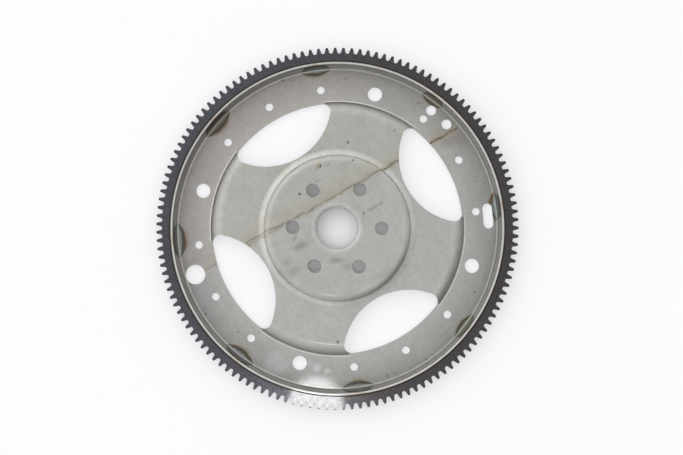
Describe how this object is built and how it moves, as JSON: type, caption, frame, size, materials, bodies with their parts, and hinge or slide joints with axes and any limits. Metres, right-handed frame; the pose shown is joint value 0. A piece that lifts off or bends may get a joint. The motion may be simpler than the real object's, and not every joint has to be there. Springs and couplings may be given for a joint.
{
  "type": "flexplate",
  "caption": "Pressed steel flexplate with a raised hub, curved windows, bolt holes and an upright rim that carries a welded toothed starter ring",
  "frame": {"origin": "on the axis of the centre bore, level with the underside of the flat ring that it lies on", "axes": "+Z along the bore towards the crankshaft side, the hub and rim rising along it; the windows are centred on +X, +Y, -X and -Y"},
  "size_m": [0.3104, 0.3104, 0.0125],
  "materials": {
    "pressed_steel": "dull bare pressed steel, stained and lightly rusted",
    "dark_gear_steel": "dark heat-treated steel, worn on the tooth ends",
    "weld_metal": "rough weld metal"
  },
  "bodies": {
    "root": {"stamped_plate": "pressed_steel", "ring_gear": "dark_gear_steel", "weld_beads": "weld_metal"}
  },
  "joints": []
}
